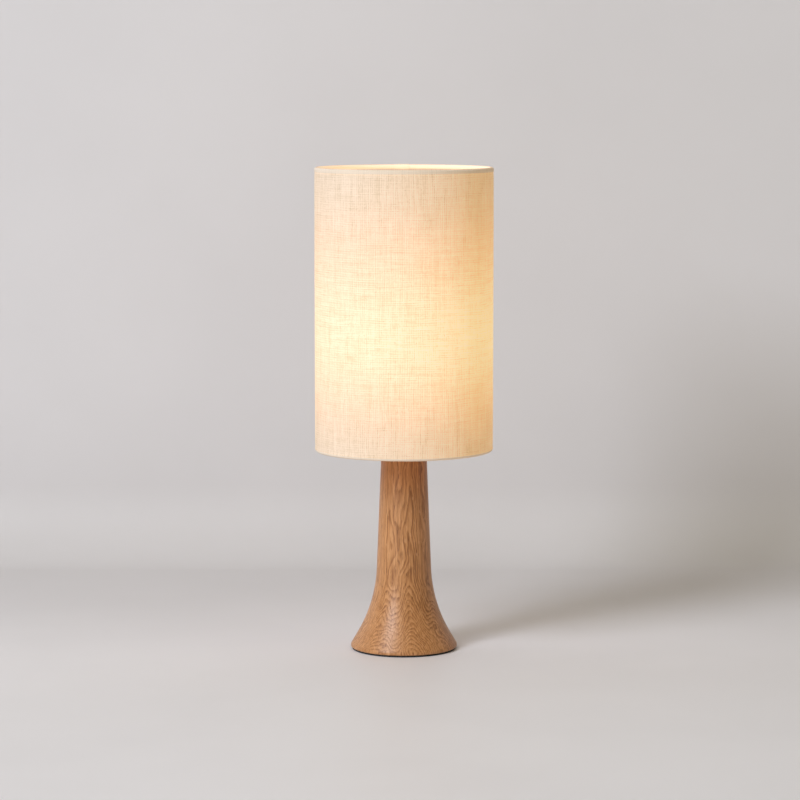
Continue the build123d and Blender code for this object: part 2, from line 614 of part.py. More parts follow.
def fitter_arm(index, radius=WIRE_RADIUS):
    """Bent wire from the collar, level to its bend and then down to the lower ring."""
    start = (COLLAR_RADIUS + GLUE_GAP, ARM_Z)
    bend = (ARM_BEND_RADIUS, ARM_Z)
    fall = (WIRE_RING_RADIUS - ARM_BEND_RADIUS, BOTTOM_RING_Z - ARM_Z)
    share = 1 - (2 * WIRE_RADIUS) / hypot(*fall)
    end = (bend[0] + share * fall[0], bend[1] + share * fall[1])
    path = Plane.XZ * FilletPolyline(
        start, bend, end, radius=[fitting_round(ARM_BEND_ROUND, start, bend, end)])
    section = Plane(origin=(start[0], 0, start[1]), z_dir=(1, 0, 0)) * Circle(radius)
    wire = sweep(section, path=path)
    return Rot(0, 0, FIRST_ARM_ANGLE + 360 / ARM_COUNT * index) * wire


def shade_ring_lower():
    ring = disc(SHADE_RING_RADIUS, LOWER_RING_BOTTOM, SHADE_RING_FLANGE)
    ring = fillet(ring.edges().group_by(Axis.Z)[0], SHADE_RING_FLANGE / 4)
    return ring - disc(COLLAR_THREAD_RADIUS + THREAD_FIT, LOWER_RING_BOTTOM, SHADE_RING_FLANGE)


def shade_ring_upper():
    """Flanged ring nut with a ribbed grip, screwed down on the fitter's collar."""
    height = SHADE_RING_FLANGE + SHADE_RING_GRIP
    ring = disc(SHADE_RING_RADIUS, UPPER_RING_BOTTOM, SHADE_RING_FLANGE)
    ring = fillet(ring.edges().group_by(Axis.Z)[-1], SHADE_RING_FLANGE / 4)
    ring += disc(SHADE_RING_GRIP_RADIUS, UPPER_RING_BOTTOM, height)
    groove = Pos(SHADE_RING_GRIP_RADIUS + SHADE_RING_RIB_RADIUS / 2, 0, 0) * disc(
        SHADE_RING_RIB_RADIUS, UPPER_RING_BOTTOM + SHADE_RING_FLANGE, SHADE_RING_GRIP)
    for index in range(SHADE_RING_RIBS):
        ring -= Rot(0, 0, 360 / SHADE_RING_RIBS * index) * groove
    return ring - disc(COLLAR_THREAD_RADIUS + THREAD_FIT, UPPER_RING_BOTTOM, height)


# Bulb

def bulb_tip_contact():
    tip = disc(TIP_RADIUS, TIP_BOTTOM, TIP_THICKNESS)
    return fillet(tip.edges().group_by(Axis.Z)[0], TIP_THICKNESS / 2)


def bulb_insulator():
    return turned_outline(
        (0, INSULATOR_BOTTOM), (TIP_RADIUS + GLUE_GAP, INSULATOR_BOTTOM),
        (INSULATOR_TOP_RADIUS, SCREW_CAP_BOTTOM), (0, SCREW_CAP_BOTTOM),
    )


def bulb_screw_cap():
    """Plain cylinder to the thread's crests, turned in at its foot over the insulator."""
    wall = SCREW_CAP_WALL
    return turned_outline(
        (INSULATOR_TOP_RADIUS - wall, SCREW_CAP_BOTTOM), (INSULATOR_TOP_RADIUS, SCREW_CAP_BOTTOM),
        (SCREW_CAP_RADIUS, SCREW_CAP_BOTTOM + 2 * wall), (SCREW_CAP_RADIUS, SCREW_CAP_TOP),
        (SCREW_CAP_RADIUS - wall, SCREW_CAP_TOP), (SCREW_CAP_RADIUS - wall,
         SCREW_CAP_BOTTOM + 3 * wall), (INSULATOR_TOP_RADIUS - wall, SCREW_CAP_BOTTOM + wall),
    )


def globe_radius(height, shrink=0.0):
    """Radius of the globe's outside, or of a smaller sphere inside it, at a height."""
    return ((GLOBE_RADIUS - shrink) ** 2 - (height - GLOBE_CENTRE) ** 2) ** 0.5


def bulb_housing():
    """Neck inside the screw cap, then a hollow flank that opens out to the globe."""
    neck_inside = SCREW_CAP_RADIUS - SCREW_CAP_WALL - GLUE_GAP
    flare_start = SCREW_CAP_TOP + NECK_HEIGHT
    rim = globe_radius(GLOBE_EDGE)
    wall = HOUSING_WALL
    neck = Polyline(
        (neck_inside - wall, SCREW_CAP_BOTTOM + 4 * SCREW_CAP_WALL),
        (neck_inside, SCREW_CAP_BOTTOM + 4 * SCREW_CAP_WALL), (neck_inside, SCREW_CAP_TOP),
        (NECK_RADIUS, SCREW_CAP_TOP), (NECK_RADIUS, flare_start),
    )
    flank = RadiusArc((NECK_RADIUS, flare_start), (rim, GLOBE_EDGE), HOUSING_BELLY)
    rim_face = Line((rim, GLOBE_EDGE), (rim - wall, GLOBE_EDGE))
    inner_flank = RadiusArc(
        (rim - wall, GLOBE_EDGE), (neck_inside - wall, flare_start), -HOUSING_BELLY)
    bore = Line(
        (neck_inside - wall, flare_start),
        (neck_inside - wall, SCREW_CAP_BOTTOM + 4 * SCREW_CAP_WALL))
    return turned(neck, flank, rim_face, inner_flank, bore)


def bulb_diffuser():
    """Opal globe, a little more than half a sphere, that sits on the housing's rim."""
    globe = Pos(0, 0, GLOBE_CENTRE) * (Sphere(GLOBE_RADIUS) - Sphere(GLOBE_RADIUS - GLOBE_WALL))
    keep = disc(2 * GLOBE_RADIUS, GLOBE_EDGE, 2 * GLOBE_RADIUS)
    return globe & keep


def led_board():
    """Plate inside the globe, on the ledge that the housing's rim leaves for it."""
    radius = globe_radius(GLOBE_EDGE, GLOBE_WALL) - LOOSE_FIT
    return disc(radius, GLOBE_EDGE, LED_BOARD_THICKNESS)


PIECES = {
    "foot_pad": foot_pad,
    "turned_column": turned_column,
    "ballast_weight": ballast_weight,
    "ballast_washer": ballast_washer,
    "ballast_nut": ballast_nut,
    "threaded_rod": threaded_rod,
    "cord_bushing": cord_bushing,
    "column_cap": column_cap,
    "lock_washer": lock_washer,
    "socket_cap": socket_cap,
    "socket_set_screw": socket_set_screw,
    "socket_shell": socket_shell,
    "socket_liner": socket_liner,
    "socket_body": socket_body,
    "screw_shell": screw_shell,
    "shell_rivets": shell_rivets,
    "centre_contact": centre_contact,
    "terminal_screws": terminal_screws,
    "switch_contact": switch_contact,
    "switch_shaft": switch_shaft,
    "switch_rotor": switch_rotor,
    "switch_knob": switch_knob,
    "shade_fabric": shade_fabric,
    "shade_liner": shade_liner,
    "shade_seam": shade_seam,
    "top_ring": lambda: wire_ring(TOP_RING_Z),
    "bottom_ring": lambda: wire_ring(BOTTOM_RING_Z),
    "top_hem": top_hem,
    "bottom_hem": bottom_hem,
    "fitter_collar": fitter_collar,
    "shade_ring_lower": shade_ring_lower,
    "shade_ring_upper": shade_ring_upper,
    "bulb_tip_contact": bulb_tip_contact,
    "bulb_insulator": bulb_insulator,
    "bulb_screw_cap": bulb_screw_cap,
    "bulb_housing": bulb_housing,
    "led_board": led_board,
    "bulb_diffuser": bulb_diffuser,
}


os.makedirs("parts", exist_ok=True)
for name, make in PIECES.items():
    export_step(make(), f"parts/{name}.step")
for arm in range(ARM_COUNT):
    export_step(fitter_arm(arm), f"parts/fitter_arm_{arm + 1}.step")
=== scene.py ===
"""A column table lamp: a turned oak column under a tall linen drum shade, lit from inside.

Metres, +Z up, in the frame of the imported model. The front faces -Y, and the shade's seam and the
cord's inlet are at the back.
"""

import json
from math import cos, exp, pi, radians, sin, tau

import bmesh
import bpy
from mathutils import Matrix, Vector, noise

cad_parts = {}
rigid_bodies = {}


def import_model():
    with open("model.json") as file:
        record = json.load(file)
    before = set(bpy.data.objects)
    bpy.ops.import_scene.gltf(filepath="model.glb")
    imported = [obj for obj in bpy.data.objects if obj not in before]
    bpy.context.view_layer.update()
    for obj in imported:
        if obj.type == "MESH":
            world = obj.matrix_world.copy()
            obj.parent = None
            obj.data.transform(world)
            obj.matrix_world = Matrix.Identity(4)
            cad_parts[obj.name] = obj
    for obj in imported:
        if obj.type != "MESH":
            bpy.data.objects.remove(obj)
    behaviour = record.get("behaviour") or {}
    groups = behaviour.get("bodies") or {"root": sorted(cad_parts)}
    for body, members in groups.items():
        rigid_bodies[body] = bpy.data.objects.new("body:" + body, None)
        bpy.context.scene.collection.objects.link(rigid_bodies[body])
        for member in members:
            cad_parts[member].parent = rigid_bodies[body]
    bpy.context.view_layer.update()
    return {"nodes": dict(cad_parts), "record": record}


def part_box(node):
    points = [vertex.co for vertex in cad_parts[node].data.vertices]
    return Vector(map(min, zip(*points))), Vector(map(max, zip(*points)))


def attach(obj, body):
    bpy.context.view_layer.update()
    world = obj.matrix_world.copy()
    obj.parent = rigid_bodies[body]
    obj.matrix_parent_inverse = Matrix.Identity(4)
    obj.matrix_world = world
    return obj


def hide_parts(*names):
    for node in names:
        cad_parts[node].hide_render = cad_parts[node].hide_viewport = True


for stray in list(bpy.data.objects):
    bpy.data.objects.remove(stray)
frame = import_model()

MM = 0.001


# ---- Sizes, read from the frame ----

def outer_radius(node):
    """How far a piece reaches from the lamp's axis."""
    low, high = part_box(node)
    return max(-low.x, high.x, -low.y, high.y)


SHADE_RADIUS = outer_radius("shade_fabric")
LINER_RADIUS = outer_radius("shade_liner")
LOW_WIRE_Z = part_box("shade_fabric")[0].z
HIGH_WIRE_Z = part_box("shade_fabric")[1].z
GLUE_GAP = 0.05 * MM
CLOTH = SHADE_RADIUS - LINER_RADIUS - GLUE_GAP
ROLL_RADIUS = LOW_WIRE_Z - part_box("bottom_hem")[0].z
WIRE_CIRCLE = SHADE_RADIUS - ROLL_RADIUS
BULB_MIDDLE_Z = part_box("bulb_diffuser")[1].z - outer_radius("bulb_diffuser")


# ---- Node trees ----

COLOUR_A, COLOUR_B, COLOUR_RESULT = 6, 7, 2      # a Mix node's sockets when it mixes colours


class Tree:
    """A node tree, with short ways to put nodes in it."""

    def __init__(self, tree):
        self.tree = tree

    def node(self, kind, feeds=None, **settings):
        made = self.tree.nodes.new(kind)
        for name, value in settings.items():
            setattr(made, name, value)
        for socket, value in (feeds or {}).items():
            self.feed(made.inputs[socket], value)
        return made

    def feed(self, socket, value):
        """Links an output to a socket, or sets the socket's own value."""
        if isinstance(value, bpy.types.NodeSocket):
            self.tree.links.new(value, socket)
        elif socket.type == "RGBA":
            socket.default_value = (*value, 1.0)
        else:
            socket.default_value = value

    def maths(self, operation, *values, clamp=False):
        feeds = dict(enumerate(values))
        return self.node("ShaderNodeMath", feeds, operation=operation, use_clamp=clamp).outputs[0]

    def total(self, first, *others):
        """The sum of several values."""
        for other in others:
            first = self.maths("ADD", first, other)
        return first

    def centred(self, value, size):
        """A noise of 0 to 1, turned into one of -size to size."""
        return self.maths("MULTIPLY_ADD", value, 2 * size, -size)

    def vector(self, x=0.0, y=0.0, z=0.0):
        return self.node("ShaderNodeCombineXYZ", {0: x, 1: y, 2: z}).outputs[0]

    def split(self, place):
        return self.node("ShaderNodeSeparateXYZ", {0: place}).outputs[:3]

    def stretched(self, place, x, y, z):
        """A place, scaled by its own amount along each axis."""
        feeds = {0: place, 1: (x, y, z)}
        return self.node("ShaderNodeVectorMath", feeds, operation="MULTIPLY").outputs[0]

    def noise(self, place, scale=1.0, detail=2.0, roughness=0.5):
        feeds = {"Vector": place, "Scale": scale, "Detail": detail, "Roughness": roughness}
        return self.node("ShaderNodeTexNoise", feeds).outputs[0]

    def between(self, value, low, high, start=0.0, end=1.0):
        """`value` carried from low..high to start..end, with soft ends."""
        feeds = {"Value": value, "From Min": low, "From Max": high, "To Min": start, "To Max": end}
        made = self.node("ShaderNodeMapRange", feeds, interpolation_type="SMOOTHSTEP")
        return made.outputs["Result"]

    def mix(self, factor, first, second, blend="MIX"):
        feeds = {0: factor, COLOUR_A: first, COLOUR_B: second}
        made = self.node("ShaderNodeMix", feeds, data_type="RGBA", blend_type=blend)
        return made.outputs[COLOUR_RESULT]

    def ramp(self, value, stops):
        """A colour for each value, from (value, colour) stops."""
        made = self.node("ShaderNodeValToRGB", {0: value})
        points = made.color_ramp.elements
        for index, (where, colour) in enumerate(stops):
            point = points[index] if index < len(points) else points.new(where)
            point.position = where
            point.color = (*colour, 1.0)
        return made.outputs[0]

    def bump(self, height, distance, strength=1.0):
        feeds = {"Height": height, "Distance": distance, "Strength": strength}
        return self.node("ShaderNodeBump", feeds).outputs[0]

    def place(self):
        """The piece's own coordinates, which turn with it."""
        return self.node("ShaderNodeTexCoord").outputs["Object"]

    def world_place(self):
        return self.node("ShaderNodeNewGeometry").outputs["Position"]

    def use(self, group, **takes):
        """Places a node group; the names of its inputs are given with _ for each space."""
        made = self.node("ShaderNodeGroup", node_tree=group)
        for name, value in takes.items():
            self.feed(made.inputs[name.replace("_", " ")], value)
        return made.outputs


def new_group(name, takes, gives):
    """An empty node group: its tree, the inputs that it takes and the node for what it gives."""
    group = bpy.data.node_groups.new(name, "ShaderNodeTree")
    for socket, value in takes.items():
        kind = "NodeSocketVector" if isinstance(value, tuple) else "NodeSocketFloat"
        group.interface.new_socket(socket, in_out="INPUT", socket_type=kind).default_value = value
    for socket in gives:
        group.interface.new_socket(socket, in_out="OUTPUT", socket_type="NodeSocketFloat")
    taken = group.nodes.new("NodeGroupInput").outputs
    given = group.nodes.new("NodeGroupOutput").inputs
    return group, Tree(group), taken, given


def new_material(name, finish):
    """A material with one Principled shader; `finish` holds what is the same all over it."""
    material = bpy.data.materials.new(name)
    material.use_nodes = True
    shader = material.node_tree.nodes["Principled BSDF"]
    tree = Tree(material.node_tree)
    for socket, value in finish.items():
        tree.feed(shader.inputs[socket], value)
    return material, tree, shader.inputs


# ---- Effects that several materials share ----

OWN_NOISE = 5.37                  # steps in a noise from one yarn to the next: each its own,
SHARED_NOISE = 0.31               # or nearly the neighbour's
SWELLS = 34.0                     # per metre of yarn, as are the slubs and bands
SLUBS = 55.0
BANDS = 18.0
NUBS = 560.0                      # per metre of cloth
WANDER = 1.6 * MM                 # how far the yarns drift
WANDERS = 22.0                    # how often they do, per metre
UPRIGHT_LANE = 0.37               # the slices of noise that the two sets of yarns read
LEVEL_LANE = 0.83
THICKER_AT_CROSSING = 0.22        # or thinner, at most


def yarns_group():
    """A plain weave of uneven yarns round the shade, with thick places, nubs and crossings."""
    group, tree, taken, given = new_group(
        "uneven yarns",
        {"Place": (0.0, 0.0, 0.0), "Yarn Width": 1.0 * MM},
        ["Upright", "Level", "Nubs", "Height"])
    x, y, z = tree.split(taken["Place"])
    minus_x, minus_y = tree.maths("MULTIPLY", x, -1.0), tree.maths("MULTIPLY", y, -1.0)
    around = tree.maths("MULTIPLY", tree.maths("ARCTAN2", minus_x, minus_y), SHADE_RADIUS)
    across = yarn_count(tree, around, tree.vector(around, z, 0.1), taken["Yarn Width"])
    upwards = yarn_count(tree, z, tree.vector(around, z, 0.7), taken["Yarn Width"])
    column, row = tree.maths("FLOOR", across), tree.maths("FLOOR", upwards)
    upright = uneven_yarn(tree, column, z, UPRIGHT_LANE)
    level = uneven_yarn(tree, row, around, LEVEL_LANE)
    over = tree.maths("FLOORED_MODULO", tree.maths("ADD", column, row), 2.0)
    under = tree.maths("SUBTRACT", 1.0, over)
    height = tree.total(
        tree.maths("MULTIPLY", over, rounded(tree, across)),
        tree.maths("MULTIPLY", under, rounded(tree, upwards)),
        tree.maths("MULTIPLY", upright, 0.5),
        tree.maths("MULTIPLY", level, 0.5))
    nubs = tree.noise(tree.vector(around, z, 0.4), NUBS, 1.0)
    crossing = tree.node("ShaderNodeTexWhiteNoise", {"Vector": tree.vector(column, row)},
                         noise_dimensions="2D").outputs[0]
    uneven = tree.centred(crossing, THICKER_AT_CROSSING)
    tree.feed(given["Upright"], tree.maths("ADD", upright, uneven))
    tree.feed(given["Level"], tree.maths("ADD", level, uneven))
    tree.feed(given["Nubs"], tree.between(nubs, 0.66, 0.76))
    tree.feed(given["Height"], height)
    return group


def yarn_count(tree, way, place, width):
    """Which yarn a point is on, with its place across that yarn as the fraction."""
    drift = tree.centred(tree.noise(place, WANDERS, 2.0), WANDER)
    return tree.maths("DIVIDE", tree.maths("ADD", way, drift), width)


def rounded(tree, count):
    """The round back of a yarn: 0 at its sides, 1 in its middle."""
    return tree.maths("SINE", tree.maths("MULTIPLY", tree.maths("FRACT", count), pi))


def uneven_yarn(tree, number, along, lane):
    """How thick a yarn is, about 0: by its own number, with slubs, and alike in loose bands."""
    own = tree.maths("MULTIPLY", number, OWN_NOISE)
    shared = tree.maths("MULTIPLY", number, SHARED_NOISE)
    swell_place = tree.vector(own, tree.maths("MULTIPLY", along, SWELLS), lane)
    slub_place = tree.vector(own, tree.maths("MULTIPLY", along, SLUBS), lane + 7.0)
    band_place = tree.vector(shared, tree.maths("MULTIPLY", along, BANDS), lane)
    swell = tree.centred(tree.noise(swell_place, 1.0, 2.0, 0.6), 1.5)
    slub = tree.between(tree.noise(slub_place, 1.0, 0.0), 0.66, 0.76, 0.0, 0.7)
    band = tree.centred(tree.noise(band_place, 1.0, 1.0), 0.8)
    every_second = tree.centred(tree.maths("FLOORED_MODULO", number, 2.0), 0.36)
    return tree.total(swell, slub, band, every_second)


FALLS_FASTER_BELOW = 1.35         # the bulb's housing keeps some of its light from going down
LIGHT_TO_LEFT = 0.86              # of the light that goes ahead
LIGHT_TO_RIGHT = 1.04
LOW_SHADOW_STEEP = 1.6            # the lower wire's shadow ends sooner above the wire,
LOW_SHADOW_DROP = 0.8             # and goes on under it, round the roll


def lamplight_group():
    """How strongly the bulb lights the shade at a place, and where its wires stop the light."""
    group, tree, taken, given = new_group(
        "lamplight",
        {"Place": (0.0, 0.0, 0.0), "Middle": 0.36, "Spread": 0.13, "Far Light": 0.3,
         "Wire Width": 3.0 * MM},
        ["Light", "Wire Shadow", "Leak"])
    x, _, z = tree.split(taken["Place"])
    off = tree.maths("DIVIDE", tree.maths("SUBTRACT", z, taken["Middle"]), taken["Spread"])
    off = tree.maths("MAXIMUM", off, tree.maths("MULTIPLY", off, -FALLS_FASTER_BELOW))
    near = tree.maths("POWER", tree.maths("MULTIPLY_ADD", off, off, 1.0), -1.5)
    not_far = tree.maths("SUBTRACT", 1.0, taken["Far Light"])
    light = tree.maths("MULTIPLY_ADD", near, not_far, taken["Far Light"])
    to_side = tree.between(x, -SHADE_RADIUS, 0.6 * SHADE_RADIUS, LIGHT_TO_LEFT, LIGHT_TO_RIGHT)
    light = tree.maths("MULTIPLY", light, to_side)
    above_low = tree.maths("SUBTRACT", z, LOW_WIRE_Z)
    from_low = tree.maths(
        "MULTIPLY_ADD", above_low, LOW_SHADOW_STEEP, LOW_SHADOW_DROP * ROLL_RADIUS)
    from_low = tree.maths("MAXIMUM", from_low, 0.0)
    from_high = tree.maths("ABSOLUTE", tree.maths("SUBTRACT", z, HIGH_WIRE_Z))
    gap = tree.maths("DIVIDE", tree.maths("MINIMUM", from_low, from_high), taken["Wire Width"])
    tree.feed(given["Light"], light)
    tree.feed(given["Wire Shadow"], tree.between(gap, 1.15, 0.75))
    leak = tree.maths("MULTIPLY", tree.between(gap, 1.0, 1.3), tree.between(gap, 1.9, 1.35))
    tree.feed(given["Leak"], leak)
    return group


SMEARS_PER_METRE = 90.0
SCRATCHES_PER_METRE = (1800.0, 1800.0, 240.0)
SCRATCH_SHARE = 0.4               # of the grain's depth


def handling_group():
    """Cloudy smears, fine scratches and grain, for metal and moulded parts."""
    group, tree, taken, given = new_group(
        "handling marks",
        {"Place": (0.0, 0.0, 0.0), "Roughness": 0.4, "Smears": 0.1, "Grain Size": 0.4 * MM},
        ["Roughness", "Smear", "Height"])
    smear = tree.noise(taken["Place"], SMEARS_PER_METRE, 3.0, 0.6)
    grain_scale = tree.maths("DIVIDE", 1.0, taken["Grain Size"])
    grain = tree.noise(taken["Place"], grain_scale, 2.0, 0.6)
    scratch = tree.noise(tree.stretched(taken["Place"], *SCRATCHES_PER_METRE))
    spread = tree.maths("MULTIPLY", tree.centred(smear, 1.0), taken["Smears"])
    tree.feed(given["Roughness"], tree.maths("ADD", taken["Roughness"], spread, clamp=True))
    tree.feed(given["Smear"], smear)
    height = tree.maths("ADD", grain, tree.maths("MULTIPLY", scratch, SCRATCH_SHARE))
    tree.feed(given["Height"], height)
    return group


def turning_group():
    """Fine rings round the lamp's axis, as a lathe or a spinning tool leaves them."""
    group, tree, taken, given = new_group(
        "turning marks", {"Place": (0.0, 0.0, 0.0), "Ring Width": 0.3 * MM}, ["Height"])
    x, y, z = tree.split(taken["Place"])
    from_axis = tree.maths("SQRT", tree.maths("MULTIPLY_ADD", x, x, tree.maths("MULTIPLY", y, y)))
    rings = tree.vector(tree.maths("DIVIDE", from_axis, taken["Ring Width"]), 0.5,
                        tree.maths("DIVIDE", z, taken["Ring Width"]))
    tree.feed(given["Height"], tree.noise(rings, 1.0, 2.0, 0.6))
    return group


YARNS = yarns_group()
LAMPLIGHT = lamplight_group()
HANDLING = handling_group()
TURNING = turning_group()


# ---- Materials ----

# What the lit cloth gives off, from where little light comes to beside the bulb; the last step
# is for its thinnest places
CLOTH_GLOW = [
    (0.0, (0.03, 0.010, 0.001)),
    (0.18, (0.155, 0.066, 0.006)),
    (0.39, (0.37, 0.170, 0.015)),
    (0.55, (0.54, 0.243, 0.030)),
    (0.67, (0.605, 0.305, 0.060)),
    (0.79, (0.635, 0.365, 0.093)),
    (0.88, (0.655, 0.408, 0.125)),
    (1.0, (0.69, 0.470, 0.165)),
]
LINING_GLOW = [
    (0.0, (0.02, 0.010, 0.003)),
    (0.2, (0.115, 0.075, 0.03)),
    (0.5, (0.38, 0.255, 0.185)),
    (1.0, (0.53, 0.385, 0.31)),
]
HEM_GLOW = (0.60, 0.38, 0.20)     # of the rolls, where they face the bulb
CLOTH_LIGHT = (0.64, 0.655, 0.645)
CLOTH_DARK = (0.50, 0.46, 0.38)   # where its yarns are thick
HEM_CLOTH = (0.82, 0.735, 0.625)
LINING_LIGHT = (0.59, 0.525, 0.48)
LINING_DARK = (0.52, 0.455, 0.41)
BESIDE_BULB = 0.88                # the cloth's glow there, leaving room for its thin places
WIRE_STOPS = 0.68                 # of the glow, in a wire's shadow
LEAK_ADDS = 0.18                  # to the glow just beside that shadow
LINEN_LIT_Z = 0.355               # where the linen is brightest
LINEN_LIT_SPREAD = 0.13           # how far its bright part reaches above and below
LINEN_FAR_LIGHT = 0.33            # what is left of the light far from the bulb
LINING_LIT_SPREAD = 0.15
LINING_FAR_LIGHT = 0.35
YARN = 1.25 * MM
UPRIGHT_SHARES = (0.065, 0.095)   # what thick yarns take from the glow, half way up and at the ends
LEVEL_SHARES = (0.085, 0.055)
NUB_SHARE = 0.20


def linen():
    """Undyed linen over a lit shade: uneven yarns, darker where they are thick or over a wire."""
    material, tree, sockets = new_material(
        "linen", {"Roughness": 0.9, "Sheen Weight": 0.04, "Sheen Roughness": 0.5,
                  "Emission Strength": 1.0, "Specular IOR Level": 0.25})
    yarns = tree.use(YARNS, Place=tree.place(), Yarn_Width=YARN)
    lamp = tree.use(LAMPLIGHT, Place=tree.world_place(), Middle=LINEN_LIT_Z,
                    Spread=LINEN_LIT_SPREAD, Far_Light=LINEN_FAR_LIGHT, Wire_Width=ROLL_RADIUS)
    z = tree.split(tree.world_place())[2]
    middle_z = (LOW_WIRE_Z + HIGH_WIRE_Z) / 2
    from_middle = tree.maths("ABSOLUTE", tree.maths("SUBTRACT", z, middle_z))
    to_ends = tree.maths("DIVIDE", from_middle, HIGH_WIRE_Z - middle_z)
    upright_share = tree.between(to_ends, 0.1, 0.9, *UPRIGHT_SHARES)
    level_share = tree.between(to_ends, 0.1, 0.9, *LEVEL_SHARES)
    thick = tree.total(
        tree.maths("MULTIPLY", yarns["Upright"], upright_share),
        tree.maths("MULTIPLY", yarns["Level"], level_share),
        tree.maths("MULTIPLY", yarns["Nubs"], NUB_SHARE))
    through = tree.maths("MULTIPLY", tree.maths("SUBTRACT", 1.0, thick), BESIDE_BULB)
    open_cloth = tree.maths("MULTIPLY_ADD", lamp["Wire Shadow"], -WIRE_STOPS, 1.0)
    leak = tree.maths("MULTIPLY_ADD", lamp["Leak"], LEAK_ADDS, 1.0)
    light = tree.maths("MULTIPLY", lamp["Light"], through)
    light = tree.maths("MULTIPLY", light, tree.maths("MULTIPLY", open_cloth, leak))
    glow = tree.mix(lit_from_inside(tree), tree.ramp(light, CLOTH_GLOW), HEM_GLOW)
    tree.feed(sockets["Emission Color"], glow)
    tone = tree.between(thick, -0.15, 0.25)
    less_where_thick = tree.maths("MULTIPLY_ADD", tone, -0.3, 1.0)
    layers = tree.maths("MULTIPLY", lamp["Wire Shadow"], less_where_thick)
    cloth = tree.mix(layers, tree.mix(tone, CLOTH_LIGHT, CLOTH_DARK), HEM_CLOTH)
    tree.feed(sockets["Base Color"], cloth)
    tree.feed(sockets["Normal"], tree.bump(yarns["Height"], 0.12 * MM, 0.7))
    return material


def lit_from_inside(tree):
    """1 where the cloth faces the bulb, on the inner side of its rolls, and 0 outside."""
    x, y, _ = tree.split(tree.world_place())
    out_x, out_y, _ = tree.split(tree.node("ShaderNodeNewGeometry").outputs["Normal"])
    outwards = tree.maths("MULTIPLY_ADD", x, out_x, tree.maths("MULTIPLY", y, out_y))
    return tree.between(tree.maths("DIVIDE", outwards, SHADE_RADIUS), 0.0, -0.6)


def lining():
    """White plastic backing that glows with the bulb, with the weave showing faintly through."""
    material, tree, sockets = new_material(
        "shade_backing", {"Roughness": 0.55, "Emission Strength": 1.0})
    yarns = tree.use(YARNS, Place=tree.place(), Yarn_Width=YARN)
    lamp = tree.use(LAMPLIGHT, Place=tree.world_place(), Middle=BULB_MIDDLE_Z,
                    Spread=LINING_LIT_SPREAD, Far_Light=LINING_FAR_LIGHT, Wire_Width=ROLL_RADIUS)
    z = tree.split(tree.world_place())[2]
    above_holder = tree.between(z, LOW_WIRE_Z, BULB_MIDDLE_Z, 0.08, 1.0)
    shown = tree.maths("MULTIPLY", tree.total(yarns["Upright"], yarns["Level"]), -0.02)
    light = tree.maths("MULTIPLY_ADD", lamp["Light"], above_holder, shown)
    tree.feed(sockets["Emission Color"], tree.ramp(light, LINING_GLOW))
    tone = tree.mix(tree.between(shown, -0.06, 0.06), LINING_DARK, LINING_LIGHT)
    tree.feed(sockets["Base Color"], tone)
    tree.feed(sockets["Normal"], tree.bump(yarns["Height"], 0.04 * MM, 0.5))
    return material


PITH_X = 14 * MM                  # the middle of the tree, beside and far behind the lamp's axis
PITH_Y = 150 * MM
LEAN = 0.018                      # of the pith, against the lamp's axis
RING_WIDTH = 2.4 * MM
CROWNS = 7                        # arches round the column
FIRST_CROWN = radians(14)         # where one of them is
CROWN_SWAY = 2.4                  # how unevenly they stand, in radians of their ripple
CROWN_DEPTH = 0.10                # how far they bulge, as a share of the column's radius
WAVE_DEPTH = 6.0 * MM             # how far the rings bend, from the broadest way to the finest
SWIRL_DEPTH = 4.0 * MM
WAVER_DEPTH = 1.0 * MM
FRINGE_DEPTH = 0.3 * MM
PLAIN_TONE = 0.22                 # of wood without marks; the next ones are added to it
SPRING_TONE = 0.46
STREAK_TONE = 0.56
FIBRE_TONE = 0.34
CLOUD_TONE = 0.28
PAINTED_SHADE_TONES = (0.06, 0.26)        # painted shade on the right side, from the lower height up to the higher one, darkest just under the shade
PAINTED_SHADE_HEIGHTS = (0.12, 0.20)
PAINTED_LAMPLIGHT_HEIGHTS = (0.165, 0.205)   # where the wood comes near the shade
PAINTED_LAMPLIGHT_TINT = (1.0, 0.87, 0.68)        # painted warm lamplight and shade, which tint and darken the wood there
PORE_COLOUR = (0.15, 0.050, 0.015)
RAY_COLOUR = (0.68, 0.36, 0.17)
OAK_TONES = [
    (0.0, (0.655, 0.328, 0.138)),
    (0.35, (0.52, 0.236, 0.085)),
    (0.7, (0.345, 0.138, 0.042)),
    (1.0, (0.19, 0.066, 0.018)),
]
MARKS_PER_METRE = {
    "waves": (44.0, 10.0, 6.0),
    "swirls": (26.0, 26.0, 16.0),
    "waver": (150.0, 150.0, 40.0),
    "fringe": (620.0, 620.0, 70.0),
    "sway": (40.0, 40.0, 24.0),
    "streaks": (380.0, 380.0, 9.0),
    "fibre": (1100.0, 1100.0, 26.0),
    "pores": (950.0, 950.0, 110.0),
    "rays": (520.0, 520.0, 130.0),
    "cloud": (24.0, 24.0, 5.0),
}


def marks(tree, place, kind, detail=2.0, roughness=0.5):
    """One kind of mark in the oak, as a noise that is stretched along the trunk."""
    return tree.noise(tree.stretched(place, *MARKS_PER_METRE[kind]), 1.0, detail, roughness)


def crowns(tree, place):
    """How far the rings bulge where they make arches and chevrons on the turned face."""
    x, y, _ = tree.split(place)
    around = tree.maths("ARCTAN2", x, tree.maths("MULTIPLY", y, -1.0))
    sway = tree.centred(marks(tree, place, "sway"), CROWN_SWAY)
    start = tree.maths("ADD", sway, -CROWNS * FIRST_CROWN)
    ripple = tree.maths("COSINE", tree.maths("MULTIPLY_ADD", around, CROWNS, start))
    from_axis = tree.maths("SQRT", tree.maths("MULTIPLY_ADD", x, x, tree.maths("MULTIPLY", y, y)))
    return tree.maths("MULTIPLY", ripple, tree.maths("MULTIPLY", from_axis, CROWN_DEPTH))


